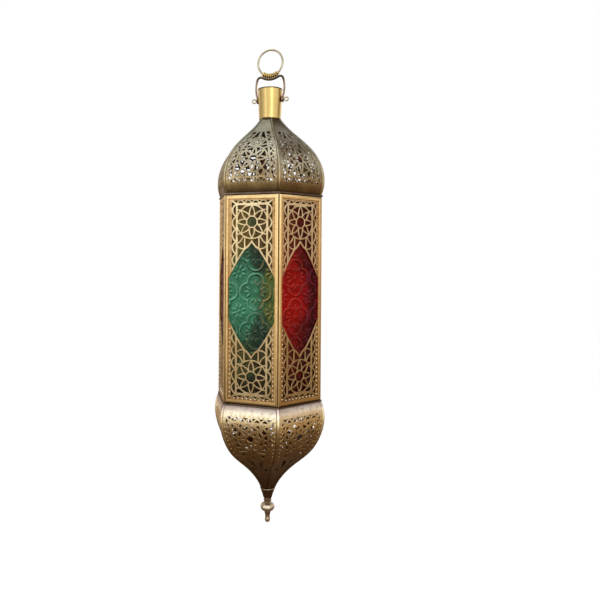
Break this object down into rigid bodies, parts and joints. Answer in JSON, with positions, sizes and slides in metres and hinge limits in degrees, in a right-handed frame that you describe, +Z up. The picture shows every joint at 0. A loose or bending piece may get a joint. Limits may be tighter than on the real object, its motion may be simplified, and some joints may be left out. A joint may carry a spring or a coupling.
{
  "type": "hanging lantern",
  "caption": "Hanging brass fanous lantern: hexagonal body of coloured glass behind pierced panels, pierced domes above and below, wire handle and ring, and a hinged door.",
  "frame": {"origin": "the hanging point, inside the top of the ring, on the lantern's axis", "axes": "+Z up along the lantern's axis, -Y out of the front panel, +Y out of the door, X along the wire that the handle swings on"},
  "size_m": [0.1168, 0.1052, 0.4729],
  "materials": {
    "wire_pale": "satin",
    "wire_dark": "oxidised",
    "wire_brass": "satin",
    "brass_bright": "polished",
    "brass_dome": "satin, aged",
    "brass_dark": "satin, aged",
    "brass_frame": "satin",
    "brass_fret": "satin",
    "glass_green": "pressed",
    "glass_red": "pressed",
    "glass_blue": "pressed",
    "glass_amber": "pressed"
  },
  "bodies": {
    "handle": {"hang_ring": "wire_pale", "bail": "wire_dark", "wire_wrap": "wire_brass"},
    "lantern": {"pivot_wire": "wire_pale", "neck_tube": "brass_bright", "neck_collar": "brass_bright", "upper_dome_ribs": "brass_dome", "lower_dome_ribs": "brass_dark", "body_top_plate": "brass_dome", "body_bottom_plate": "brass_dome", "hinge_leaves_fixed": "brass_frame", "hinge_pins": "brass_frame", "door_stop": "brass_frame", "candle_bridge": "brass_frame", "candle_cup": "brass_bright", "cup_rivet": "brass_frame", "lower_cap": "brass_dark", "finial": "brass_dark", "upper_gore_front": "brass_dome", "lower_gore_front": "brass_dark", "upper_gore_front_right": "brass_dome", "lower_gore_front_right": "brass_dark", "upper_gore_back_right": "brass_dome", "lower_gore_back_right": "brass_dark", "upper_gore_back": "brass_dome", "lower_gore_back": "brass_dark", "upper_gore_back_left": "brass_dome", "lower_gore_back_left": "brass_dark", "upper_gore_front_left": "brass_dome", "lower_gore_front_left": "brass_dark", "front_frame": "brass_frame", "front_fret": "brass_fret", "front_glass": "glass_green", "front_glass_clips": "brass_frame", "front_right_frame": "brass_frame", "front_right_fret": "brass_fret", "front_right_glass": "glass_red", "front_right_glass_clips": "brass_frame", "back_right_frame": "brass_frame", "back_right_fret": "brass_fret", "back_right_glass": "glass_blue", "back_right_glass_clips": "brass_frame", "back_left_frame": "brass_frame", "back_left_fret": "brass_fret", "back_left_glass": "glass_green", "back_left_glass_clips": "brass_frame", "front_left_frame": "brass_frame", "front_left_fret": "brass_fret", "front_left_glass": "glass_red", "front_left_glass_clips": "brass_frame"},
    "door": {"door_frame": "brass_frame", "door_fret": "brass_fret", "door_glass": "glass_amber", "door_glass_clips": "brass_frame", "hinge_leaves_door": "brass_frame", "door_knob": "brass_bright"}
  },
  "joints": [
    {"name": "handle_swing", "type": "hinge", "parent": "handle", "child": "lantern", "pos_m": [0, 0, -0.0492], "axis": [1, 0, 0], "range_deg": [-140, 140]},
    {"name": "door_swing", "type": "hinge", "parent": "lantern", "child": "door", "pos_m": [0.0285, 0.04936, -0.2459], "axis": [0, 0, -1], "range_deg": [0, 110]}
  ]
}
